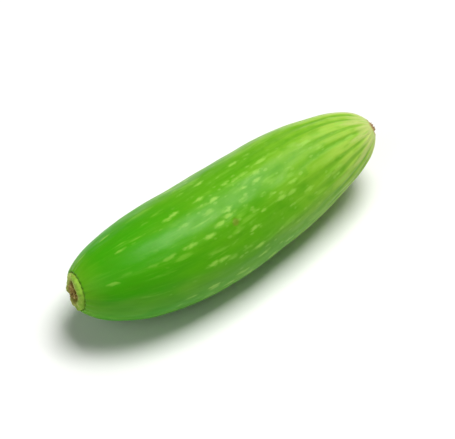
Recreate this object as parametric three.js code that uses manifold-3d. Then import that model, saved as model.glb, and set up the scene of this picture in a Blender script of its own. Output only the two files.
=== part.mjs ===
// An ivy gourd, picked and lying on its side: the fruit, the snapped end of its stalk and the dried
// remains of its flower. Millimetres, +Z up, +X from the stalk end to the flower end. The origin is
// on the surface that the fruit lies on, under the middle of its box.
import * as THREE from "three";
import { mergeVertices } from "three/addons/utils/BufferGeometryUtils.js";
import Module from "manifold-3d";

const wasm = await Module();
wasm.setup();

// Driving dimensions of the fruit
const FRUIT_LENGTH = 58.5;
const FRUIT_DIAMETER = 18.6;
const WIDEST_AT = 0.435; // share of the length, from the stalk end
// Each half's outline is a superellipse: bow is how late it turns in, and blunt how square it ends.
const STALK_HALF = { bow: 2.35, blunt: 2.15 };
const FLOWER_HALF = { bow: 2.1, blunt: 2.6 };

// The middle line bends towards -Y. The swing brings the belly nearer the stalk. The flower end turns
// up and a little aside, nearly all of it in the last third, because the power is high.
const BEND = 2.2;
const BEND_SWING = 0.33;
const TIP_LIFT = 4.2;
const TIP_ASIDE = 1.4;
const TIP_POWER = 6;

// Ten faint ribs, plainest near the flower end, and a few long waves that keep the fruit from being
// round. A wave's height is a share of the radius; around and along count its periods.
const RIBS = 10;
const RIB_HEIGHT = 0.12;
const WAVES = [
  { height: 0.012, around: 2, along: 0.3, start: 2.4 },
  { height: 0.006, around: 3, along: -0.7, start: 2.2 },
  { height: 0.008, around: 1, along: 1.6, start: 4.0 },
  { height: 0.004, around: 4, along: 1.1, start: 5.1 },
];

// A small boss round the dried flower
const BOSS_HEIGHT = 0.4;
const BOSS_RADIUS = 2.2;

// How the fruit lies: the belly a little below level, and the flower end sunk until the fruit's
// weight is over the spot that it rests on
const ROLL = THREE.MathUtils.degToRad(18);
const PITCH = THREE.MathUtils.degToRad(2.2);
const FLAT_DEPTH = 0.35; // how much the fruit's own weight flattens its lowest spot

// The stalk's stub is a low collar round a cup, with the broken stalk standing in the cup. It sits
// in a socket in the fruit's end, and its heights are above the socket's floor.
const SOCKET_FLOOR = 2.0; // below the tip that the fruit would have there
const COLLAR_RADIUS = 3.2;
const COLLAR_WALL = 0.7;
const COLLAR_HEIGHT = 1.35;
const CUP_RADIUS = 1.9;
const CUP_FLOOR = 0.75;
const STALK_RADIUS = 1.25;
const STALK_HEIGHT = 1.6;
const BREAK_DEPTH = 0.3;
// The broken stalk narrows to a rim round a pit, at these shares of its radius.
const BREAK_EDGE = 0.9;
const BREAK_RIM = 0.7;
const BREAK_PIT = 0.35;
const LIP_STEPS = 6;

// The dried flower is a crumb of five withered lobes, in a shallow pit in the boss.
const REMNANT_LOBES = 5;
const LOBE_HEIGHT = 0.2; // share of the radius
const REMNANT_RADIUS = 1.05;
const REMNANT_HEIGHT = 0.7;
const PIT_FLOOR = 0.1; // below the tip that the fruit would have without the boss

// The thin gap between the fruit and what is set on its ends
const GAP = 0.25;

const FACETS_AROUND = 70;
const RINGS = 36;
const END_FACETS = 30;
const REMNANT_RINGS = 10;

const SKIN = new THREE.MeshStandardMaterial({ color: "#66ad2c", roughness: 0.35, metalness: 0 });
const CORK = new THREE.MeshStandardMaterial({ color: "#c9bf82", roughness: 0.8, metalness: 0 });
const WITHERED = new THREE.MeshStandardMaterial({ color: "#4a3219", roughness: 0.9, metalness: 0 });

// A closed geometry as a solid that can be cut and joined
function toSolid(geometry) {
  const bare = geometry.clone();
  bare.deleteAttribute("normal");
  bare.deleteAttribute("uv");
  const merged = mergeVertices(bare);
  return new wasm.Manifold(
    new wasm.Mesh({
      numProp: 3,
      vertProperties: new Float32Array(merged.getAttribute("position").array),
      triVerts: new Uint32Array(merged.index.array),
    }),
  );
}

function toMesh(name, solid, material) {
  const { vertProperties, triVerts } = solid.getMesh();
  const geometry = new THREE.BufferGeometry();
  geometry.setAttribute("position", new THREE.BufferAttribute(vertProperties, 3));
  geometry.setIndex(new THREE.BufferAttribute(triVerts, 1));
  geometry.computeVertexNormals();
  const mesh = new THREE.Mesh(geometry, material);
  mesh.name = name;
  return mesh;
}

// Moves each corner of a geometry to where a rule puts it
function reshape(geometry, rule) {
  const position = geometry.getAttribute("position");
  const point = new THREE.Vector3();
  for (let i = 0; i < position.count; i += 1) {
    rule(point.fromBufferAttribute(position, i));
    position.setXYZ(i, point.x, point.y, point.z);
  }
  return geometry;
}

// A closed body turned from an outline of [radius, height] pairs, standing on a seat
function turned(outline, seat) {
  const points = outline.map(([radius, height]) => new THREE.Vector2(radius, height));
  return new THREE.LatheGeometry(points, END_FACETS).applyMatrix4(seat);
}

// Radius of the plain outline at a share of the length from the stalk end
function outlineRadius(share) {
  const stalkSide = share < WIDEST_AT;
  const half = stalkSide ? STALK_HALF : FLOWER_HALF;
  const halfLength = stalkSide ? WIDEST_AT : 1 - WIDEST_AT;
  const run = (Math.abs(share - WIDEST_AT) / halfLength) ** half.bow;
  return (FRUIT_DIAMETER / 2) * Math.max(0, 1 - run) ** (1 / half.blunt);
}

// Radius of the skin there, in the direction of an angle round the fruit
function skinRadius(share, angle) {
  const wave = WAVES.reduce(
    (sum, w) => sum + w.height * Math.sin(w.around * angle + 2 * Math.PI * w.along * share + w.start),
    0,
  );
  const rib = RIB_HEIGHT * Math.cos(RIBS * angle) * share * Math.sin(Math.PI * share);
  return Math.max(0, outlineRadius(share) * (1 + wave) + rib);
}

// The bent middle line at a share of the length: a seat there, with its X axis along the line
function middleLine(share) {
  const turn = Math.PI * share;
  const tip = share ** TIP_POWER;
  const place = new THREE.Vector3(
    FRUIT_LENGTH * (share - 0.5),
    -BEND * (Math.sin(turn) + BEND_SWING * Math.sin(2 * turn)) - TIP_ASIDE * tip,
    TIP_LIFT * tip,
  );
  const tipSlope = TIP_POWER * share ** (TIP_POWER - 1);
  const bendSlope = BEND * Math.PI * (Math.cos(turn) + 2 * BEND_SWING * Math.cos(2 * turn));
  const along = new THREE.Vector3(
    FRUIT_LENGTH,
    -bendSlope - TIP_ASIDE * tipSlope,
    TIP_LIFT * tipSlope,
  ).normalize();
  const across = new THREE.Vector3(0, 1, 0).addScaledVector(along, -along.y).normalize();
  const up = along.clone().cross(across);
  return new THREE.Matrix4().makeBasis(along, across, up).setPosition(place);
}

// The whole skin as a closed surface, each ring square to the middle line
function skinGeometry() {
  const ball = new THREE.SphereGeometry(1, FACETS_AROUND, RINGS).rotateZ(-Math.PI / 2);
  return reshape(ball, (point) => {
    const share = THREE.MathUtils.clamp((1 + point.x) / 2, 0, 1);
    const angle = Math.atan2(point.z, point.y);
    const radius = skinRadius(share, angle);
    const boss = share > 0.5 ? BOSS_HEIGHT * Math.exp(-((radius / BOSS_RADIUS) ** 2)) : 0;
    point.set(boss, radius * Math.cos(angle), radius * Math.sin(angle));
    point.applyMatrix4(middleLine(share));
  });
}

// A seat on the middle line at one end: its +Y axis points out of the fruit
function endSeat(share, outwards, height) {
  return middleLine(share)
    .multiply(new THREE.Matrix4().makeRotationZ((-outwards * Math.PI) / 2))
    .multiply(new THREE.Matrix4().makeTranslation(0, height, 0));
}

// The stub: a flat foot, the collar with its round lip, the cup, and the stalk with its sunken break
function stalkStub(seat) {
  const lipMiddle = (COLLAR_RADIUS + CUP_RADIUS) / 2;
  const lipHalf = (COLLAR_RADIUS - CUP_RADIUS) / 2;
  const lipRise = COLLAR_HEIGHT - COLLAR_WALL;
  const lip = Array.from({ length: LIP_STEPS + 1 }, (_, i) => {
    const turn = (Math.PI * i) / LIP_STEPS;
    return [lipMiddle + lipHalf * Math.cos(turn), COLLAR_WALL + lipRise * Math.sin(turn)];
  });
  return turned(
    [
      [0, GAP],
      [COLLAR_RADIUS, GAP],
      ...lip,
      [STALK_RADIUS, CUP_FLOOR],
      [STALK_RADIUS * BREAK_EDGE, STALK_HEIGHT - BREAK_DEPTH],
      [STALK_RADIUS * BREAK_RIM, STALK_HEIGHT],
      [STALK_RADIUS * BREAK_PIT, STALK_HEIGHT - BREAK_DEPTH],
      [0, STALK_HEIGHT - BREAK_DEPTH],
    ],
    seat,
  );
}

// The room round what is set in the fruit's end, from a flat floor to well past the tip
function socket(seat, setRadius) {
  const radius = setRadius + GAP;
  const top = FRUIT_DIAMETER / 4;
  return turned([[0, 0], [radius, 0], [radius, top], [0, top]], seat);
}

// The remnant: a low lump with a flat foot, its rim folded into withered lobes
function flowerRemnant(seat) {
  const lump = new THREE.SphereGeometry(1, END_FACETS, REMNANT_RINGS);
  return reshape(lump, (point) => {
    const lobe = 1 + LOBE_HEIGHT * Math.cos(REMNANT_LOBES * Math.atan2(point.z, point.x));
    point.x *= REMNANT_RADIUS * lobe;
    point.y = GAP + REMNANT_HEIGHT * Math.max(0, point.y);
    point.z *= REMNANT_RADIUS * lobe;
  }).applyMatrix4(seat);
}

// Lays the pieces down, with the lowest spot a little under the surface, where it is cut flat
const skin = skinGeometry();
const lying = new THREE.Group();
lying.rotation.set(ROLL, PITCH, 0, "YXZ");
lying.updateMatrix();
const laid = skin.clone().applyMatrix4(lying.matrix);
laid.computeBoundingBox();
lying.position.z = -laid.boundingBox.min.z - FLAT_DEPTH;
lying.updateMatrix();

const ground = new THREE.BoxGeometry(2 * FRUIT_LENGTH, 2 * FRUIT_LENGTH, FRUIT_DIAMETER)
  .translate(0, 0, -FRUIT_DIAMETER / 2)
  .applyMatrix4(lying.matrix.clone().invert());
const stalkSeat = endSeat(0, -1, -SOCKET_FLOOR);
const flowerSeat = endSeat(1, 1, -PIT_FLOOR);
const fruit = toSolid(skin)
  .subtract(toSolid(ground))
  .subtract(toSolid(socket(stalkSeat, COLLAR_RADIUS)))
  .subtract(toSolid(socket(flowerSeat, REMNANT_RADIUS * (1 + LOBE_HEIGHT))));

lying.add(
  toMesh("fruit", fruit, SKIN),
  toMesh("stalk_stub", toSolid(stalkStub(stalkSeat)), CORK),
  toMesh("flower_remnant", toSolid(flowerRemnant(flowerSeat)), WITHERED),
);

const gourd = new THREE.Group();
gourd.add(lying);
const middle = new THREE.Box3().setFromObject(gourd, true).getCenter(new THREE.Vector3());
lying.position.x -= middle.x;
lying.position.y -= middle.y;

export default gourd;
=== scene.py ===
"""An ivy gourd, picked and lying on its side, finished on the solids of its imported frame.

The frame is in metres, +Z up, +X from the stalk end to the flower end. Every piece is first made
straight along X, in millimetres from the stalk end, and its relief is raised on it there. Then it
is bent along the fruit's middle line, and laid down where the frame's solids lie.
"""

import math
import random

import bpy
from mathutils import Matrix, Vector, noise


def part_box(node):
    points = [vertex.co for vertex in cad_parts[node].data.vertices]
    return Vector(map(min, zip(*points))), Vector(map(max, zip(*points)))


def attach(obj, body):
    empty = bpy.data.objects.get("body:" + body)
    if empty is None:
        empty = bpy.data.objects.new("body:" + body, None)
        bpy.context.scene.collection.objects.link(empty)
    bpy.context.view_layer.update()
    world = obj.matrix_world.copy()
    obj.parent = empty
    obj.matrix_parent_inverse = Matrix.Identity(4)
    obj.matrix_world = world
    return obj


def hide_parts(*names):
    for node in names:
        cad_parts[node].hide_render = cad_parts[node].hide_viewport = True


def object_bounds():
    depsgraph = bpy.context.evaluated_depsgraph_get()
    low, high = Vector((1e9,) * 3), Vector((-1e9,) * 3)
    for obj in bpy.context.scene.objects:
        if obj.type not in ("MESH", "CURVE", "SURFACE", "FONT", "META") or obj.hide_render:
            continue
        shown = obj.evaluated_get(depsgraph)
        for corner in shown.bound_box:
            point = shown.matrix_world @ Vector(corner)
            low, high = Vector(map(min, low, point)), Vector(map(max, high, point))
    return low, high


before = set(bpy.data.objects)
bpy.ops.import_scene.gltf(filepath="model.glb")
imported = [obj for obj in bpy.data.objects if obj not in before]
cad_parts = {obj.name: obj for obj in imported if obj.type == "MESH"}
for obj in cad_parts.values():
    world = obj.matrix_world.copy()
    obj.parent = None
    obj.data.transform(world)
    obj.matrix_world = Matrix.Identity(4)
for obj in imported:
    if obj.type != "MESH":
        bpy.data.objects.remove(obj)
cad_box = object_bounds()

MM = 0.001

# Driving dimensions of the fruit, as in the part's source. Lengths are in millimetres.
FRUIT_LENGTH = 58.5
FRUIT_RADIUS = 9.3
WIDEST_AT = 0.435  # share of the length, from the stalk end
STALK_BOW, STALK_BLUNT = 2.35, 2.15
FLOWER_BOW, FLOWER_BLUNT = 2.1, 2.6
BEND = 2.2
BEND_SWING = 0.33
TIP_LIFT = 4.2
TIP_ASIDE = 1.4
TIP_POWER = 6
RIBS = 10
RIB_HEIGHT = 0.12
WAVES = [
    # height as a share of the radius, periods around, periods along, start
    (0.012, 2, 0.3, 2.4),
    (0.006, 3, -0.7, 2.2),
    (0.008, 1, 1.6, 4.0),
    (0.004, 4, 1.1, 5.1),
]
BOSS_HEIGHT = 0.4
BOSS_RADIUS = 2.2
ROLL = math.radians(18)
PITCH = math.radians(2.2)

# The seat in the fruit's stalk end, and the collar and broken stalk in it, in millimetres
SEAT_FLOOR = 2.0
SEAT_RADIUS = 3.0
CREASE_AT = (1.62, 3.16)  # along and radius of the crease round the collar
CREASE_ROUND = (1.1, 3.3)  # what the rind's rim rounds over
RIM_RADIUS = 3.8
COLLAR_FOOT = 1.75
LIP_AT = (1.3, 2.5)
LIP_RISE, LIP_HALF = 0.65, 0.62
CUP_FLOOR = 1.25
STALK_RADIUS = 1.2
STALK_TOP = 0.55
PITH_SINK = 0.35  # how far the pith lies below the rim of the break
STALK_OFF = Vector((0, 0.2, -0.16))  # how far the stalk stood off the collar's middle

# The pit in the flower end, and the dried flower in it, in millimetres
PIT_DEPTH = 0.42
PIT_RADIUS = 1.35
PIT_FLOOR_RADIUS = 0.5
CRUMB_FOOT = 58.45
CRUMB_RADIUS = 0.95
CRUMB_TOP = 59.05
LOBES = 5

# How finely the pieces are meshed, in millimetres along their outline and in steps around
BODY_STEP = 0.3
END_STEP = 0.13
TIP_FINE_RADIUS = 3.5  # within it, the flower end has the fine step
RIND_STEPS_AROUND = 240
COLLAR_STEP = 0.1
CUP_STEP = 0.12
COLLAR_STEPS_AROUND = 120
STALK_STEP = 0.07
CRUMB_STEP = 0.06
SMALL_STEPS_AROUND = 72  # of the stalk and of the dried flower

# Relief of the rind, in millimetres
FURROW_DEPTH = 0.09
FURROWS_RISE = 1.5, 4  # from the tip, where the furrows begin
FURROWS_FADE = 9, 26  # from the tip, where they run out
LUMP_HEIGHT = 0.16
LUMPS = [
    # share of the height, width round the fruit, length along it
    (1.0, 4, 8),
    (0.35, 1.5, 3.5),
]
LUMPS_RISE = 0.5, 6  # from either end, where the lumps begin
PUCKERS = 22
PUCKER_HEIGHT = 0.07
PUCKER_REACH = 1.1  # from the collar
BLEMISH_SHARE = 0.465
BLEMISH_ANGLE = math.radians(108)
BLEMISH_PIT, BLEMISH_PIT_REACH = 0.1, 0.45
BLEMISH_RIM, BLEMISH_RIM_RADIUS, BLEMISH_RIM_REACH = 0.04, 0.9, 0.4
TIP_RIM, TIP_RIM_REACH = 0.07, 0.22  # the low rim round the dried flower's pit
FLAT_EASE = 0.12  # how softly the pressed flat runs into the belly

# Relief of the collar and the stalk, in millimetres
LIP_SWELL = 0.24  # slow swells round the lip
LIP_LUMP = 0.14
LIP_TILT, LIP_TILT_TOWARDS = 0.1, 2.4  # the lip stands higher on one side, at this angle in radians
CRACK_DEPTH = 0.1
WRINKLES, WRINKLE_HEIGHT = 31, 0.03
CORK_LUMP = 0.05
DRAWN_IN = 0.1  # share of its radius by which the lip leans in over the cup
DRAWN_IN_SWING = 0.2  # how much that share varies round the lip
STALK_OVAL = 1.1, 0.9
STALK_RIDGES, STALK_RIDGE_HEIGHT = 11, 0.05  # the height as a share of the radius
PITH_LUMP = 0.34
PITH_TILT, PITH_TILT_TOWARDS = 0.12, 2.2  # the pith stands higher on one side, as the lip does
FIBRES = 16


def smooth_rise(low, high, value):
    """0 below low, 1 above high, and a smooth rise between them."""
    t = min(1.0, max(0.0, (value - low) / (high - low)))
    return t * t * (3 - 2 * t)


def to_linear(hex_colour):
    """An sRGB hex colour as a linear one with full alpha."""
    parts = [int(hex_colour[i : i + 2], 16) / 255 for i in (1, 3, 5)]
    return [p / 12.92 if p <= 0.04045 else ((p + 0.055) / 1.055) ** 2.4 for p in parts] + [1.0]


# Shape of the fruit


def angle_of(place):
    """Angle of a point round the X axis."""
    return math.atan2(place.z, place.y)


def radius_of(place):
    """Distance of a point from the X axis."""
    return math.hypot(place.y, place.z)


def outline_radius(share):
    """Radius of the fruit's plain outline at a share of its length from the stalk end."""
    stalk_side = share < WIDEST_AT
    bow, blunt = (STALK_BOW, STALK_BLUNT) if stalk_side else (FLOWER_BOW, FLOWER_BLUNT)
    half = WIDEST_AT if stalk_side else 1 - WIDEST_AT
    run = (abs(share - WIDEST_AT) / half) ** bow
    return FRUIT_RADIUS * max(0.0, 1 - run) ** (1 / blunt)


def stalk_share(radius):
    """Share of the length at which the stalk half has a radius."""
    return WIDEST_AT * (1 - (1 - (radius / FRUIT_RADIUS) ** STALK_BLUNT) ** (1 / STALK_BOW))


def flower_share(radius):
    """Share of the length at which the flower half has a radius."""
    half = 1 - WIDEST_AT
    return WIDEST_AT + half * (1 - (radius / FRUIT_RADIUS) ** FLOWER_BLUNT) ** (1 / FLOWER_BOW)


def middle_line(share):
    """The bent middle line at a share of the length: a seat there, with its X axis along the line."""
    turn = math.pi * share
    tip = share**TIP_POWER
    tip_slope = TIP_POWER * share ** (TIP_POWER - 1)
    bend_slope = BEND * math.pi * (math.cos(turn) + 2 * BEND_SWING * math.cos(2 * turn))
    place = Vector((
        FRUIT_LENGTH * (share - 0.5),
        -BEND * (math.sin(turn) + BEND_SWING * math.sin(2 * turn)) - TIP_ASIDE * tip,
        TIP_LIFT * tip,
    ))
    along = Vector((FRUIT_LENGTH, -bend_slope - TIP_ASIDE * tip_slope, TIP_LIFT * tip_slope))
    along.normalize()
    across = (Vector((0, 1, 0)) - along * along.y).normalized()
    seat = Matrix((along, across, along.cross(across))).transposed().to_4x4()
    seat.translation = place
    return seat


def grown(place):
    """A point of the straight fruit, moved to where the long waves, the bend and the lie put it."""
    share = min(1.0, max(0.0, place.x / FRUIT_LENGTH))
    angle = angle_of(place)
    swell = 1 + sum(
        height * math.sin(around * angle + math.tau * along * share + start)
        for height, around, along, start in WAVES
    )
    spare = place.x - share * FRUIT_LENGTH
    lie = Matrix.Rotation(PITCH, 4, "Y") @ Matrix.Rotation(ROLL, 4, "X")
    return lie @ middle_line(share) @ Vector((spare, place.y * swell, place.z * swell))


# Making a piece


def deselect():
    bpy.ops.object.select_all(action="DESELECT")


def even_steps(points, step):
    """The same line with its points evenly spaced, about a step apart."""
    points = [Vector(p) for p in points]
    runs = [0.0]
    for start, end in zip(points, points[1:]):
        runs.append(runs[-1] + (end - start).length)
    count = max(1, round(runs[-1] / step))
    line = []
    at = 0
    for i in range(count + 1):
        run = runs[-1] * i / count
        while at < len(points) - 2 and runs[at + 1] < run:
            at += 1
        line.append(points[at].lerp(points[at + 1], (run - runs[at]) / (runs[at + 1] - runs[at])))
    return line


def shares_of(count):
    """Even shares of a whole, from 0 to 1 in so many steps."""
    return [i / count for i in range(count + 1)]


def arc(middle, half, rise, steps):
    """A half ellipse round a lip, from its outer side over its top to its inner side."""
    turns = [math.pi * share for share in shares_of(steps)]
    return [(middle[0] - rise * math.sin(t), middle[1] + half * math.cos(t)) for t in turns]


def turned(name, outline, steps_around):
    """A closed body spun round the X axis from an outline of (along, radius) points. Its attribute
    run says how far along the outline each of its points is."""
    line = [Vector(point) for point in outline]
    deselect()
    bpy.ops.mesh.primitive_plane_add(size=1)
    piece = bpy.context.object
    piece.name = piece.data.name = name
    bpy.ops.object.mode_set(mode="EDIT")
    bpy.ops.mesh.merge(type="CENTER")
    bpy.ops.transform.translate(value=(line[0].x, line[0].y, 0))
    for here, there in zip(line, line[1:]):
        bpy.ops.mesh.extrude_region_move(TRANSFORM_OT_translate={"value": (*(there - here), 0)})
    bpy.ops.object.mode_set(mode="OBJECT")
    run = piece.data.attributes.new("run", "FLOAT", "POINT")
    for i in range(1, len(line)):
        run.data[i].value = run.data[i - 1].value + (line[i] - line[i - 1]).length
    bpy.ops.object.mode_set(mode="EDIT")
    bpy.ops.mesh.select_all(action="SELECT")
    bpy.ops.mesh.spin(steps=steps_around, angle=math.tau, center=(0, 0, 0), axis=(1, 0, 0))
    bpy.ops.mesh.select_all(action="SELECT")
    bpy.ops.mesh.remove_doubles(threshold=0.0005)
    bpy.ops.mesh.normals_make_consistent(inside=False)
    bpy.ops.object.mode_set(mode="OBJECT")
    return piece


def raise_relief(piece, height):
    """Moves each point along its normal by what height(place, run) gives there."""
    runs = piece.data.attributes["run"].data
    moves = [v.normal * height(v.co, runs[v.index].value) for v in piece.data.vertices]
    for vertex, move in zip(piece.data.vertices, moves):
        vertex.co += move


def store(piece, name, rule):
    """Keeps a vector at each point for the material: what rule(place, run) gives there."""
    runs = piece.data.attributes["run"].data
    vectors = [rule(v.co, runs[v.index].value) for v in piece.data.vertices]
    kept = piece.data.attributes.new(name, "FLOAT_VECTOR", "POINT")
    for point, vector in zip(kept.data, vectors):
        point.vector = vector


def reshape(piece, rule):
    """Moves each point of a piece to where a rule puts it."""
    for vertex in piece.data.vertices:
        vertex.co = rule(vertex.co)


def laid_box(piece):
    """Lowest and highest corner of the box that a straight piece has once it is bent and laid."""
    places = [grown(v.co) for v in piece.data.vertices]
    return [Vector([pick(p[i] for p in places) for i in range(3)]) for pick in (min, max)]


def pressed(height):
    """A height above the surface that the fruit lies on, with what would be below pressed flat."""
    return (height + math.hypot(height, FLAT_EASE)) / 2


def settle(piece, shift):
    """Bends a piece, lays it down and shifts it into the frame, in metres."""
    def rule(place):
        laid = grown(place) + shift
        laid.z = pressed(laid.z)
        return laid * MM
    reshape(piece, rule)


def dress(piece, node, slot, material):
    """Gives a settled piece its material and smooth shading, hangs it on the root, and hides the frame's
    solid that it stands in for.
    """
    deselect()
    piece.select_set(True)
    bpy.context.view_layer.objects.active = piece
    bpy.ops.object.shade_smooth()
    piece.data.materials.append(material)
    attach(piece, "root")
    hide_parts(node)


# Pieces


def stripes(angle, run):
    """How far a spot is on a pale stripe: 1 on the ten main ones, 0 on the weaker ones between them,
    and about -0.56 on the dark lines. The stripes wander a little."""
    round_there = Vector((math.cos(angle), math.sin(angle), run / 15))
    angle += 0.07 * noise.noise(round_there) + 0.03 * noise.noise(round_there * 2.7)
    return (math.cos(RIBS * angle) + math.cos(2 * RIBS * angle)) / 2


def off_blemish(place):
    """Distance along the rind from its blemish, in millimetres."""
    turn = angle_of(place) - BLEMISH_ANGLE
    return math.hypot(FRUIT_RADIUS * turn, place.x - FRUIT_LENGTH * BLEMISH_SHARE)


def rind_relief(place, from_tip, from_collar):
    """Height of the rind's ribs, furrows, lumps, puckers and blemish at a point, in millimetres."""
    share = place.x / FRUIT_LENGTH
    angle = angle_of(place)
    around = Vector((math.cos(angle), math.sin(angle), 0)) * FRUIT_RADIUS
    rib = RIB_HEIGHT * math.cos(RIBS * angle) * share * math.sin(math.pi * share)
    near_tip = smooth_rise(*FURROWS_RISE, from_tip) * (1 - smooth_rise(*FURROWS_FADE, from_tip))
    furrow = FURROW_DEPTH * min(0.0, 2 * stripes(angle, from_tip)) * near_tip
    spot = around + Vector((0, 0, from_tip))
    lumps = sum(
        part * noise.noise(Vector((spot.x / width, spot.y / width, spot.z / length)))
        for part, width, length in LUMPS
    )
    lumps *= LUMP_HEIGHT * smooth_rise(*LUMPS_RISE, from_collar) * smooth_rise(*LUMPS_RISE, from_tip)
    fold = PUCKERS * angle + 3 * noise.noise(around / 3)
    pucker = PUCKER_HEIGHT * math.cos(fold) * math.exp(-max(0.0, from_collar) / PUCKER_REACH)
    pucker *= smooth_rise(-0.3, 0.3, from_collar)
    off = off_blemish(place)
    rim = BLEMISH_RIM * math.exp(-(((off - BLEMISH_RIM_RADIUS) / BLEMISH_RIM_REACH) ** 2))
    pit = BLEMISH_PIT * math.exp(-((off / BLEMISH_PIT_REACH) ** 2))
    return rib + furrow + lumps + pucker + (rim - pit)


def flower_end(place):
    """Raises the boss at the tip, and sinks the dried flower's pit into it."""
    if place.x < FRUIT_LENGTH / 2:
        return place
    radius = radius_of(place)
    boss = BOSS_HEIGHT * math.exp(-((radius / BOSS_RADIUS) ** 2))
    rim = TIP_RIM * math.exp(-(((radius - PIT_RADIUS) / TIP_RIM_REACH) ** 2))
    pit = PIT_DEPTH * (1 - smooth_rise(PIT_FLOOR_RADIUS, PIT_RADIUS, radius))
    return place + Vector((boss + rim - pit, 0, 0))


def make_rind():
    """The whole skin of the fruit, closed under the stalk's collar and under the dried flower."""
    crease, over = Vector(CREASE_AT), Vector(CREASE_ROUND)
    start, end = stalk_share(RIM_RADIUS), flower_share(TIP_FINE_RADIUS)
    edge = Vector((FRUIT_LENGTH * start, RIM_RADIUS))

    # In how many steps each curve is worked out, before its points are evenly spaced
    rim_steps, body_steps, tip_steps = 8, 400, 60
    rim = [crease.lerp(over, t).lerp(over.lerp(edge, t), t) for t in shares_of(rim_steps)]
    turns = [math.pi * t for t in shares_of(body_steps)]
    shares = [start + (end - start) * (1 - math.cos(turn)) / 2 for turn in turns]
    body = [(FRUIT_LENGTH * s, outline_radius(s)) for s in shares]
    radii = [TIP_FINE_RADIUS * (1 - t) for t in shares_of(tip_steps)]
    tip = [(FRUIT_LENGTH * flower_share(r), r) for r in radii]
    seat = [(SEAT_FLOOR, 0), (SEAT_FLOOR, SEAT_RADIUS)]
    outline = seat + even_steps(rim, END_STEP)
    outline += even_steps(body, BODY_STEP)[1:] + even_steps(tip, END_STEP)[1:]
    piece = turned("rind", outline, RIND_STEPS_AROUND)

    # How much of the outline lies under the collar, and the whole of it
    hidden = SEAT_RADIUS + (crease - Vector(seat[1])).length
    whole = max(point.value for point in piece.data.attributes["run"].data)

    def grain(place, run):
        angle = angle_of(place)
        return FRUIT_RADIUS * math.cos(angle), FRUIT_RADIUS * math.sin(angle), whole - run

    def marks(place, run):
        return run - hidden, stripes(angle_of(place), whole - run), off_blemish(place)

    store(piece, "grain", grain)
    store(piece, "marks", marks)
    raise_relief(piece, lambda place, run: rind_relief(place, whole - run, run - hidden))
    reshape(piece, flower_end)
    return piece


def make_collar():
    """The low corky collar that the stalk stood in: a lip round a cup, cracked and uneven."""
    lip = arc(LIP_AT, LIP_HALF, LIP_RISE, steps=20)
    flank = [(COLLAR_FOOT, SEAT_RADIUS), CREASE_AT, lip[0]]
    cup = [lip[-1], (CUP_FLOOR, STALK_RADIUS + 0.2), (CUP_FLOOR, 0)]
    outline = [(COLLAR_FOOT, 0)] + even_steps(flank, COLLAR_STEP)
    outline += even_steps(lip, COLLAR_STEP)[1:] + even_steps(cup, CUP_STEP)[1:]
    piece = turned("stalk_collar", outline, COLLAR_STEPS_AROUND)

    def off_stalk(place, run):
        return 0, *(place - STALK_OFF).yz

    def relief(place, run):
        angle, radius = angle_of(place), radius_of(place)
        on_lip = smooth_rise(1.5, 2.1, radius) * (1 - smooth_rise(3.0, 3.2, radius))
        around = Vector((math.cos(angle), math.sin(angle), 0))
        height = LIP_SWELL * noise.noise(around * 1.8) + LIP_LUMP * noise.noise(place * 1.3)
        height += LIP_TILT * math.cos(angle - LIP_TILT_TOWARDS)
        stray = noise.noise(around * 2)
        crack = CRACK_DEPTH * max(0.0, 1 - abs(math.sin(6 * angle + 4 * stray)) * 4)
        wrinkle = WRINKLE_HEIGHT * math.cos(WRINKLES * angle + 5 * stray)
        return (height + wrinkle - crack) * on_lip + CORK_LUMP * noise.noise(place * 3)

    def drawn_in(place):
        angle, radius = angle_of(place), radius_of(place)
        around = Vector((math.cos(angle), math.sin(angle), 3))
        reach = smooth_rise(1.3, 1.9, radius) * (1 - smooth_rise(2.0, 3.0, radius))
        share = 1 - (DRAWN_IN + DRAWN_IN_SWING * noise.noise(around * 1.3)) * reach
        return Vector((place.x, place.y * share, place.z * share))

    store(piece, "off_stalk", off_stalk)
    raise_relief(piece, relief)
    reshape(piece, drawn_in)
    return piece


def strand(place, lean, length, radius):
    """One stiff fibre standing out along -X from a place, leaning by two slopes."""
    deselect()
    bpy.ops.mesh.primitive_cylinder_add(vertices=6, radius=radius, depth=length, end_fill_type="TRIFAN")
    fibre = bpy.context.object
    bpy.ops.object.mode_set(mode="EDIT")
    bpy.ops.mesh.select_all(action="SELECT")
    bpy.ops.mesh.subdivide(number_cuts=2)
    bpy.ops.object.mode_set(mode="OBJECT")

    def rule(point):
        up = max(0.0, point.z / length + 0.5)
        slim = 1 - 0.75 * up**1.5
        side = Vector(lean) * length * up**1.6
        return place + Vector((-length * up, point.y * slim + side.x, point.x * slim + side.y))

    reshape(fibre, rule)
    return fibre


def join(pieces):
    """Joins pieces into the first one."""
    deselect()
    for piece in pieces:
        piece.select_set(True)
    bpy.context.view_layer.objects.active = pieces[0]
    bpy.ops.object.join()
    return pieces[0]


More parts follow.
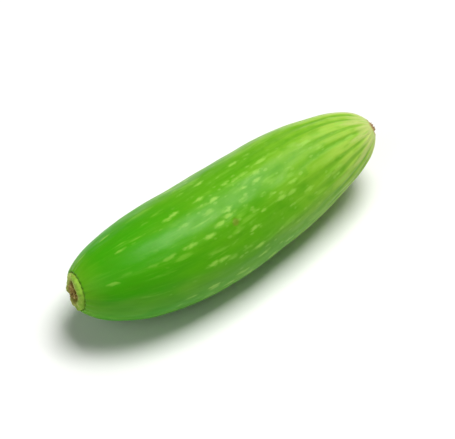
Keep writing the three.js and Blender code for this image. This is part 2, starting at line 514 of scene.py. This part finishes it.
def make_stalk(draw):
    """The stalk, snapped off just above the cup: ridged, with its lumpy pith sunk below the rim of
    the break, and torn fibres standing round it."""
    outline = [
        (CUP_FLOOR + 0.2, 0),
        (CUP_FLOOR + 0.2, STALK_RADIUS + 0.15),
        (CUP_FLOOR - 0.15, STALK_RADIUS),
        (STALK_TOP + 0.15, 0.95 * STALK_RADIUS),
        (STALK_TOP, 0.75 * STALK_RADIUS),
        (STALK_TOP + 0.3, 0.35 * STALK_RADIUS),
        (STALK_TOP + PITH_SINK, 0),
    ]
    piece = turned("snapped_stalk", even_steps(outline, STALK_STEP), SMALL_STEPS_AROUND)

    def snapped(place):
        below_rim = smooth_rise(STALK_TOP, CUP_FLOOR - 0.2, place.x)
        angle = angle_of(place)
        lump = PITH_LUMP * noise.noise(Vector((place.y * 3.1, place.z * 3.1, 7)))
        tilt = PITH_TILT * math.cos(angle - PITH_TILT_TOWARDS)
        ridge = STALK_RIDGE_HEIGHT * math.cos(STALK_RIDGES * angle + 2 * noise.noise(place))
        out = 1 + ridge * below_rim
        wide, high = STALK_OVAL
        shaped = (place.x - (lump + tilt) * below_rim, place.y * out * wide, place.z * out * high)
        return Vector(shaped) + STALK_OFF

    reshape(piece, snapped)
    fibres = []
    for i in range(FIBRES):
        angle = math.tau * (i + draw.uniform(-0.3, 0.3)) / FIBRES
        radius = STALK_RADIUS * draw.uniform(0.55, 0.85)
        foot = Vector((STALK_TOP + PITH_SINK, radius * math.cos(angle), radius * math.sin(angle)))
        foot += STALK_OFF
        lean = (draw.uniform(-0.35, 0.5) * math.cos(angle), draw.uniform(-0.35, 0.5) * math.sin(angle))
        fibres.append(strand(foot, lean, draw.uniform(0.45, 0.85), draw.uniform(0.06, 0.11)))
    return join([piece] + fibres)


def make_flower(draw):
    """What is left of the flower: a crumb of dried tissue, and its lobes withered and curled in."""
    outline = [
        (CRUMB_FOOT, 0),
        (CRUMB_FOOT, 0.8 * CRUMB_RADIUS),
        (CRUMB_FOOT + 0.2, CRUMB_RADIUS),
        (CRUMB_FOOT + 0.4, 0.8 * CRUMB_RADIUS),
        (CRUMB_TOP - 0.15, 0.45 * CRUMB_RADIUS),
        (CRUMB_TOP, 0),
    ]
    piece = turned("dried_flower", even_steps(outline, CRUMB_STEP), SMALL_STEPS_AROUND)

    def shrivelled(place):
        lobe = 1 + 0.16 * math.cos(LOBES * angle_of(place)) + 0.12 * noise.noise(place * 2.4)
        lump = 0.12 * noise.noise(place * 3.3)
        return Vector((place.x + lump, place.y * lobe, place.z * lobe))

    reshape(piece, shrivelled)
    return join([piece] + [withered_lobe(math.tau * i / LOBES, draw) for i in range(LOBES)])


def withered_lobe(turn, draw):
    """One dried lobe: a thin tongue that rises from the crumb's edge, twists and curls inwards."""
    length, width = draw.uniform(0.75, 1.0), draw.uniform(0.45, 0.6)
    curl, twist = draw.uniform(1.7, 2.6), draw.uniform(-0.7, 0.7)
    turn += draw.uniform(-0.15, 0.15)
    deselect()
    bpy.ops.mesh.primitive_grid_add(x_subdivisions=7, y_subdivisions=11, size=1)
    lobe = bpy.context.object
    solidify = lobe.modifiers.new("thickness", "SOLIDIFY")
    solidify.thickness = 0.07
    solidify.offset = 0

    def rule(point):
        up = point.y + 0.5
        half = width * point.x * (1 - 0.75 * up**2)
        bow = curl * up
        out = 0.72 * CRUMB_RADIUS + length * 0.55 * math.sin(bow) / curl - 0.25 * up
        rise = length * (1 - math.cos(bow)) / curl + 0.1 * math.cos(9 * point.x + 5 * up)
        side = turn + twist * up * 0.4
        crumple = 0.05 * noise.noise(Vector((point.x * 5, point.y * 6, turn)))
        return Vector((
            CRUMB_FOOT + 0.12 + 0.8 * rise + crumple,
            (out + crumple) * math.cos(side) - half * math.sin(side),
            (out + crumple) * math.sin(side) + half * math.cos(side),
        ))

    reshape(lobe, rule)
    bpy.ops.object.modifier_apply(modifier=solidify.name)
    return lobe


# Materials


def add(tree, kind, settings):
    """Adds a node. Settings are its properties by name, or its inputs by name or number, and an input
    is given a value, or a socket or node that feeds it."""
    node = tree.nodes.new(kind)
    for name, value in settings.items():
        if isinstance(name, str) and hasattr(node, name):
            setattr(node, name, value)
        elif isinstance(value, bpy.types.Node):
            tree.links.new(value.outputs[0], node.inputs[name])
        elif isinstance(value, bpy.types.NodeSocket):
            tree.links.new(value, node.inputs[name])
        else:
            node.inputs[name].default_value = value
    return node


def new_material(name):
    """A node material with nothing in it yet, and its tree."""
    material = bpy.data.materials.new(name)
    material.use_nodes = True
    material.node_tree.nodes.clear()
    return material, material.node_tree


def painted(tree, base, layers):
    """A base colour with tints laid over it. A layer is a tint, its strength, and what it keeps to:
    sources, each with the level where the tint is off and the level where it is full."""
    colour = add(tree, "ShaderNodeRGB", {})
    colour.outputs[0].default_value = to_linear(base)
    for tint, strength, *sources in layers:
        share = strength
        for source, off, full in sources:
            share = add(tree, "ShaderNodeMapRange", {
                "interpolation_type": "SMOOTHSTEP",
                "Value": source, "From Min": off, "From Max": full, "To Max": share,
            })
        mix = {"data_type": "RGBA", 0: share, 6: colour, 7: to_linear(tint)}
        colour = add(tree, "ShaderNodeMix", mix).outputs[2]
    return colour


def waxy_rind():
    """Waxy cucurbit rind, grown: smooth, softly glossy and faintly see-through, bright green with pale
    broken streaks that run lengthwise, and fading to cream at the flower end."""
    material, tree = new_material("waxy_cucurbit_rind")
    grain = add(tree, "ShaderNodeAttribute", {"attribute_name": "grain"}).outputs["Vector"]
    from_tip = add(tree, "ShaderNodeSeparateXYZ", {0: grain}).outputs["Z"]
    marks = add(tree, "ShaderNodeAttribute", {"attribute_name": "marks"}).outputs["Vector"]
    from_collar, stripe, from_blemish = add(tree, "ShaderNodeSeparateXYZ", {0: marks}).outputs
    place = add(tree, "ShaderNodeTexCoord", {}).outputs["Object"]

    # Noise drawn out along the grain: width round the fruit, length along it (mm), finer layers
    patch = {}
    for name, width, length, detail in [
        ("mottle", 6.0, 11.0, 2.0),
        ("cloud", 1.6, 2.8, 2.0),
        ("streak", 1.1, 6.0, 2.5),
        ("thread", 0.45, 5.0, 2.0),
        ("ragged", 0.4, 0.9, 2.0),
    ]:
        size = {"Vector": grain, "Scale": (1 / width, 1 / width, 1 / length)}
        drawn_out = add(tree, "ShaderNodeMapping", size)
        noise_there = {"Vector": drawn_out, "Scale": 1.0, "Detail": detail}
        patch[name] = add(tree, "ShaderNodeTexNoise", noise_there).outputs["Fac"]
    pore = add(tree, "ShaderNodeTexNoise", {"Vector": place, "Scale": 1 / (0.45 * MM), "Detail": 2.0})

    # Pale spots, one to a cell of this width and length (mm): how far a point is from its spot, and
    # a number for each spot
    spot = {}
    for name, width, length in [("dash", 1.25, 3.6), ("speck", 0.8, 1.5)]:
        size = {"Vector": grain, "Scale": (1 / width, 1 / width, 1 / length)}
        drawn_out = add(tree, "ShaderNodeMapping", size)
        cells = add(tree, "ShaderNodeTexVoronoi", {"Vector": drawn_out, "Scale": 1.0})
        number = add(tree, "ShaderNodeSeparateColor", {0: cells.outputs["Color"]}).outputs[0]
        spot[name] = cells.outputs["Distance"], number

    # Spots are likelier on a stripe and round the blemish, and rarer towards the stalk
    round_blemish, plain_end = [
        add(tree, "ShaderNodeMapRange", {"Value": source, "From Min": off, "From Max": full})
        for source, off, full in [(from_blemish, 4.0, 1.0), (from_tip, 36.0, 56.0)]
    ]
    likelier = [(stripe, 0.15), (round_blemish, 0.4), (plain_end, -0.45)]

    # Sums that the tints keep to: a start, and each source with its weight. The zone is in
    # millimetres from the tip, reaches further on a stripe, and has ragged borders.
    total = {}
    for name, start, parts in [
        ("zone", -7.0, [
            (from_tip, 1.0), (stripe, -2.4), (patch["mottle"], 10.0), (patch["cloud"], 4.0),
        ]),
        ("streak", patch["streak"], [(stripe, 0.05), (plain_end, -0.12)]),
        ("dash", spot["dash"][0], [(patch["ragged"], 0.45)]),
        ("some dashes", spot["dash"][1], likelier),
        ("speck", spot["speck"][0], [(patch["ragged"], 0.45)]),
        ("some specks", spot["speck"][1], likelier),
        ("dark line", stripe, [(patch["cloud"], 0.3)]),
        ("collar", from_collar, [(patch["cloud"], 3.0)]),
        # the crease round the collar, where an olive darkening is painted as shade
        ("crease", from_collar, [(pore, 0.4)]),
        ("tip scar", from_tip, [(patch["ragged"], 0.8)]),
        ("blemish", from_blemish, [(pore, 0.7)]),
    ]:
        for source, weight in parts:
            step = {"operation": "MULTIPLY_ADD", 0: source, 1: weight, 2: start}
            start = add(tree, "ShaderNodeMath", step)
        total[name] = start

    scar_edge = 2.3, 1.5  # where the dried scar at the tip begins, and where it is full
    colour = painted(tree, "#66ac1a", [
        ("#48a60c", 0.95, (total["zone"], 36, 56)),
        ("#55a312", 0.3, (patch["mottle"], 0.5, 0.7)),
        ("#7cb834", 0.35, (patch["mottle"], 0.5, 0.3)),
        ("#8abe36", 0.95, (total["zone"], 30, 16)),
        ("#acd058", 0.95, (total["zone"], 17, 9)),
        ("#55a012", 0.25, (patch["cloud"], 0.48, 0.68)),
        ("#4c9610", 0.12, (patch["thread"], 0.5, 0.72)),
        ("#8cc84c", 0.1, (patch["thread"], 0.48, 0.3)),
        ("#5aa218", 0.5, (total["dark line"], 0, -0.4), (from_tip, 24, 9), (from_tip, 2, 6)),
        ("#c8d684", 0.9, (total["zone"], 8, 3)),
        ("#96cc4c", 0.4, (total["streak"], 0.54, 0.7)),
        ("#a4d45c", 0.75, (total["dash"], 0.66, 0.34), (total["some dashes"], 0.3, 0.85)),
        ("#9cca58", 0.5, (total["speck"], 0.64, 0.36), (total["some specks"], 0.5, 1.0)),
        ("#7cb428", 0.6, (total["collar"], 7, 1.5)),
        # painted shade: an olive darkening in the crease round the collar
        ("#86963a", 0.4, (total["crease"], 0.6, 0.2)),
        ("#b8946c", 0.8, (total["tip scar"], *scar_edge)),
        ("#86813a", 0.5, (total["blemish"], 1.25, 0.65)),
    ])

    # Roughness: waxy all over but dry on the scar, and a little cloudy
    waxy, dry, clouding = 0.3, 0.6, 0.14
    dull = add(tree, "ShaderNodeMapRange", {
        "Value": total["tip scar"], "From Min": scar_edge[0], "From Max": scar_edge[1],
        "To Min": waxy, "To Max": dry,
    })
    clouded = {"operation": "MULTIPLY_ADD", 0: patch["cloud"], 1: clouding, 2: dull}
    dull = add(tree, "ShaderNodeMath", clouded)
    relief = {"operation": "MULTIPLY_ADD", 0: pore, 1: 0.35, 2: patch["cloud"]}
    height = add(tree, "ShaderNodeMath", relief)
    bump = add(tree, "ShaderNodeBump", {"Height": height, "Strength": 1.0, "Distance": 0.03 * MM})
    shader = add(tree, "ShaderNodeBsdfPrincipled", {
        "Base Color": colour,
        "Roughness": dull,
        "Normal": bump,
        "IOR": 1.4,
        "Specular IOR Level": 0.25,
        "Subsurface Weight": 0.15,
        "Subsurface Radius": (0.6, 1.0, 0.25),
        "Subsurface Scale": 1.0 * MM,
    })
    add(tree, "ShaderNodeOutputMaterial", {"Surface": shader.outputs[0]})
    return material


def corky_scar():
    """Cork that the fruit grew over its stalk's seat: dry, matte and wrinkled, green where it meets the
    rind, yellow-green on the lip and olive-brown in the cup. That brown is partly the cork's own and
    partly painted shade in the hollow. Its lower side is painted a duller tan: painted shade."""
    material, tree = new_material("corky_stalk_scar")
    off_stalk = add(tree, "ShaderNodeAttribute", {"attribute_name": "off_stalk"}).outputs["Vector"]
    length = {"operation": "LENGTH", 0: off_stalk}
    radius = add(tree, "ShaderNodeVectorMath", length).outputs["Value"]
    place = add(tree, "ShaderNodeTexCoord", {}).outputs["Object"]
    height = add(tree, "ShaderNodeSeparateXYZ", {0: place}).outputs["Z"]
    stain = add(tree, "ShaderNodeTexNoise", {"Vector": place, "Scale": 1 / (1.2 * MM), "Detail": 3.0})
    grit = add(tree, "ShaderNodeTexNoise", {"Vector": place, "Scale": 1 / (0.3 * MM), "Detail": 3.0})

    # The distance from the stalk's middle, and the height above the floor, both with ragged borders. The
    # height paints the collar's lower side a duller, darker tan: painted shade.
    ragged = add(tree, "ShaderNodeMath", {"operation": "MULTIPLY_ADD", 0: stain, 1: 1.8, 2: radius})
    ragged = add(tree, "ShaderNodeMath", {"operation": "MULTIPLY_ADD", 0: grit, 1: 0.4, 2: ragged})
    uneven = {"operation": "MULTIPLY_ADD", 0: stain, 1: 2 * MM, 2: height}
    shaded_low_side = add(tree, "ShaderNodeMath", uneven)
    colour = painted(tree, "#b8ca6a", [
        # painted shade: the collar's lower side, duller and darker tan towards the bottom
        ("#aca65c", 0.6, (shaded_low_side, 11.2 * MM, 9.6 * MM)),
        ("#8cbc3a", 0.9, (ragged, 3.5, 4.2)),
        # towards the middle, the cork's own olive-brown, made darker in the cup by painted shade
        ("#a49c50", 0.7, (ragged, 3.4, 2.7)),
        ("#8c7a3c", 0.85, (ragged, 2.9, 2.4)),
        ("#96803e", 0.4, (stain, 0.55, 0.68)),
        ("#86803f", 0.35, (grit, 0.55, 0.7)),
    ])
    bump = add(tree, "ShaderNodeBump", {"Height": grit, "Strength": 1.0, "Distance": 0.05 * MM})
    shader = add(tree, "ShaderNodeBsdfPrincipled", {
        "Base Color": colour, "Roughness": 0.8, "Normal": bump, "IOR": 1.45,
    })
    add(tree, "ShaderNodeOutputMaterial", {"Surface": shader.outputs[0]})
    return material


def torn_fibre():
    """Woody stalk fibre, snapped and dried: matte, streaked tan and brown along the fibres."""
    material, tree = new_material("torn_stalk_fibre")
    place = add(tree, "ShaderNodeTexCoord", {}).outputs["Object"]
    fibres = {"Vector": place, "Scale": (0.3 / MM, 3 / MM, 3 / MM)}
    drawn_out = add(tree, "ShaderNodeMapping", fibres)
    fibre = add(tree, "ShaderNodeTexNoise", {"Vector": drawn_out, "Scale": 1.0, "Detail": 3.0})
    stain = add(tree, "ShaderNodeTexNoise", {"Vector": place, "Scale": 1 / (0.8 * MM), "Detail": 2.0})
    colour = painted(tree, "#b09a58", [
        ("#d0c488", 0.8, (fibre, 0.48, 0.34)),
        ("#7a5e2e", 0.8, (fibre, 0.5, 0.68)),
        ("#9a7440", 0.45, (stain, 0.5, 0.65)),
    ])
    bump = add(tree, "ShaderNodeBump", {"Height": fibre, "Strength": 1.0, "Distance": 0.05 * MM})
    shader = add(tree, "ShaderNodeBsdfPrincipled", {
        "Base Color": colour, "Roughness": 0.85, "Normal": bump, "IOR": 1.5,
    })
    add(tree, "ShaderNodeOutputMaterial", {"Surface": shader.outputs[0]})
    return material


def withered_petal():
    """Withered flower tissue, dried on the fruit: papery, dull and wrinkled, tan with brown folds."""
    material, tree = new_material("withered_petal")
    place = add(tree, "ShaderNodeTexCoord", {}).outputs["Object"]
    crumple = add(tree, "ShaderNodeTexNoise", {"Vector": place, "Scale": 1 / (0.35 * MM), "Detail": 3.0})
    stain = add(tree, "ShaderNodeTexNoise", {"Vector": place, "Scale": 1 / (0.9 * MM), "Detail": 2.0})
    colour = painted(tree, "#b2966a", [
        ("#d2bf96", 0.8, (crumple, 0.48, 0.34)),
        ("#80603c", 0.7, (crumple, 0.5, 0.68)),
        ("#9a7450", 0.4, (stain, 0.48, 0.6)),
    ])
    bump = add(tree, "ShaderNodeBump", {"Height": crumple, "Strength": 1.0, "Distance": 0.06 * MM})
    shader = add(tree, "ShaderNodeBsdfPrincipled", {
        "Base Color": colour, "Roughness": 0.88, "Normal": bump, "IOR": 1.5,
    })
    add(tree, "ShaderNodeOutputMaterial", {"Surface": shader.outputs[0]})
    return material


def matte_board():
    """White studio board: even and matte."""
    material, tree = new_material("white_studio_board")
    board = {"Base Color": to_linear("#f6f6f4"), "Roughness": 0.95}
    shader = add(tree, "ShaderNodeBsdfPrincipled", board)
    add(tree, "ShaderNodeOutputMaterial", {"Surface": shader.outputs[0]})
    return material


# Studio

CAMERA_AZIMUTH = math.radians(-36)  # the photograph's viewing angle on this fruit
CAMERA_ELEVATION = math.radians(54)
CAMERA_DISTANCE = 0.75
FRAME_WIDTH = 0.074  # of the picture, at the fruit
SENSOR_WIDTH = 36
LIGHTS = [
    # name, place from the fruit's middle in metres, width in metres, power in watts
    ("overhead", Vector((0.26, 0.03, 0.97)), 0.5, 8.8),
    ("side", Vector((-0.6, -0.1, 0.5)), 0.6, 1.1),
]
ROOM_AS_LIGHT, ROOM_AS_SEEN = 0.12, 0.66  # how bright the room is
FLOOR_RADIUS = 0.65


def look_at(thing, target):
    """Turns a camera or a light to face a point."""
    thing.rotation_euler = (target - thing.location).to_track_quat("-Z", "Y").to_euler()


def set_camera(target):
    """A long lens at the photograph's viewing angle, aimed at the middle of the fruit."""
    across = math.cos(CAMERA_ELEVATION)
    back = Vector((
        math.sin(CAMERA_AZIMUTH) * across,
        -math.cos(CAMERA_AZIMUTH) * across,
        math.sin(CAMERA_ELEVATION),
    ))
    deselect()
    bpy.ops.object.camera_add(location=target + back * CAMERA_DISTANCE)
    camera = bpy.context.object
    camera.data.sensor_width = SENSOR_WIDTH
    camera.data.lens = SENSOR_WIDTH * CAMERA_DISTANCE / FRAME_WIDTH
    look_at(camera, target)
    bpy.context.scene.camera = camera


def set_lights(target):
    """A soft light overhead, which the waxy rind mirrors as a faint sheen, a weak one at the stalk
    end, and a pale room. The room looks as pale as the floor's edge, and is dim as a light."""
    for name, place, width, power in LIGHTS:
        deselect()
        bpy.ops.object.light_add(type="AREA", location=target + place)
        light = bpy.context.object
        light.name = name
        light.data.size = width
        light.data.energy = power
        look_at(light, target)
    world = bpy.data.worlds.new("pale_room")
    world.use_nodes = True
    room = world.node_tree
    room.nodes.clear()
    looked_at = add(room, "ShaderNodeLightPath", {}).outputs["Is Camera Ray"]
    as_light_or_seen = {"Value": looked_at, "To Min": ROOM_AS_LIGHT, "To Max": ROOM_AS_SEEN}
    strength = add(room, "ShaderNodeMapRange", as_light_or_seen)
    pale = {"Color": to_linear("#f6f7f7"), "Strength": strength}
    backdrop = add(room, "ShaderNodeBackground", pale)
    add(room, "ShaderNodeOutputWorld", {"Surface": backdrop})
    bpy.context.scene.world = world


def set_floor():
    """A plain pale round floor, so wide that its edge shows only in nearly level views."""
    deselect()
    bpy.ops.mesh.primitive_circle_add(vertices=160, radius=FLOOR_RADIUS, fill_type="NGON")
    floor = bpy.context.object
    floor.name = "floor"
    floor.data.materials.append(matte_board())


# The gourd

draw = random.Random(11)
rind = make_rind()
collar = make_collar()
stalk = make_stalk(draw)
flower = make_flower(draw)

low, high = laid_box(rind)
node_low, node_high = [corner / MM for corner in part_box("fruit")]
shift = Vector((
    node_high.x - high.x,
    (node_low.y + node_high.y - low.y - high.y) / 2,
    node_high.z - high.z,
))
for piece, node, slot, material in [
    (rind, "fruit", "skin", waxy_rind()),
    (collar, "stalk_stub", "cork", corky_scar()),
    (stalk, "stalk_stub", "cork", torn_fibre()),
    (flower, "flower_remnant", "withered_flower", withered_petal()),
]:
    settle(piece, shift)
    dress(piece, node, slot, material)

middle = (cad_box[0] + cad_box[1]) / 2
set_camera(middle)
set_lights(middle)
set_floor()
bpy.context.scene.view_settings.view_transform = "Standard"
bpy.context.scene.view_settings.look = "Medium High Contrast"
